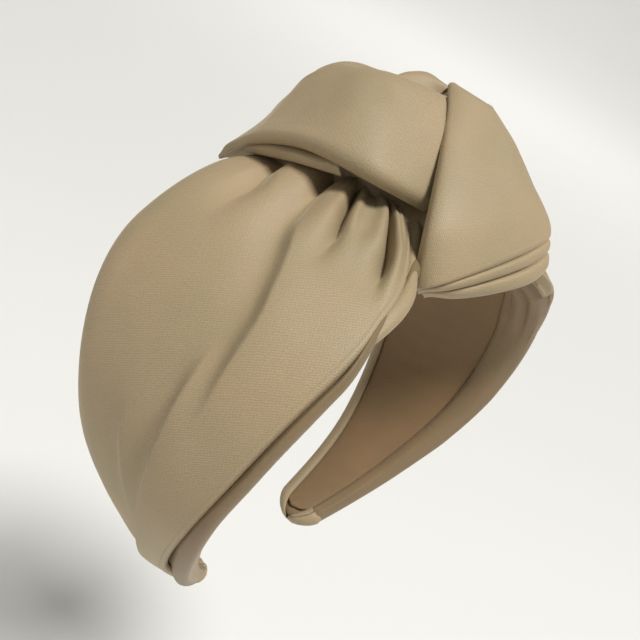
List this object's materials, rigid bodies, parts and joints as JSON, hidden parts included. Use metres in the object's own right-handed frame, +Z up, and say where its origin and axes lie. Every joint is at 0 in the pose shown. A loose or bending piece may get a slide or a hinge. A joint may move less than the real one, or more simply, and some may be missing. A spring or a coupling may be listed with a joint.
{
  "type": "knotted headband",
  "caption": "Wide padded headband on a springy hoop, with a gathered satin cover tied in a large soft knot on the crown and arms tapering to narrow tips.",
  "frame": {"origin": "on the lining's inner face at the middle of the crown, where the headband rests on the top of the head", "axes": "+Z up through the knot, X across the head, and the wearer faces -Y; the wearer's right arm is at -X"},
  "size_m": [0.151, 0.0724, 0.153],
  "materials": {
    "satin": "satin sheen",
    "satin_wrap": "satin sheen",
    "lining": "matt weave",
    "core": "matt",
    "foam": "matt",
    "wadding": "matt",
    "thread": "matt"
  },
  "bodies": {
    "crown": {"core_crown": "core", "foam_crown": "foam", "wrap_crown": "satin_wrap", "lining_crown": "lining", "strand_right": "satin", "strand_left": "satin", "gather_thread_right": "thread", "gather_thread_left": "thread", "lobe_over": "satin", "lobe_front": "satin", "lobe_rear": "satin", "knot_wadding": "wadding", "knot_tacks": "thread"},
    "right_arm": {"core_right": "core", "foam_right": "foam", "wrap_right": "satin_wrap", "lining_right": "lining", "wadding_right": "wadding", "cover_right": "satin", "tip_fold_right": "satin"},
    "left_arm": {"core_left": "core", "foam_left": "foam", "wrap_left": "satin_wrap", "lining_left": "lining", "wadding_left": "wadding", "cover_left": "satin", "tip_fold_left": "satin"}
  },
  "joints": [
    {"name": "right_arm_flex", "type": "hinge", "parent": "crown", "child": "right_arm", "pos_m": [-0.03374, 0, -0.00259], "axis": [0, 1, 0], "range_deg": [-5, 8], "stiffness_Nm_per_rad": 1.6},
    {"name": "left_arm_flex", "type": "hinge", "parent": "crown", "child": "left_arm", "pos_m": [0.03374, 0, -0.00259], "axis": [0, -1, 0], "range_deg": [-5, 8], "stiffness_Nm_per_rad": 1.6}
  ]
}
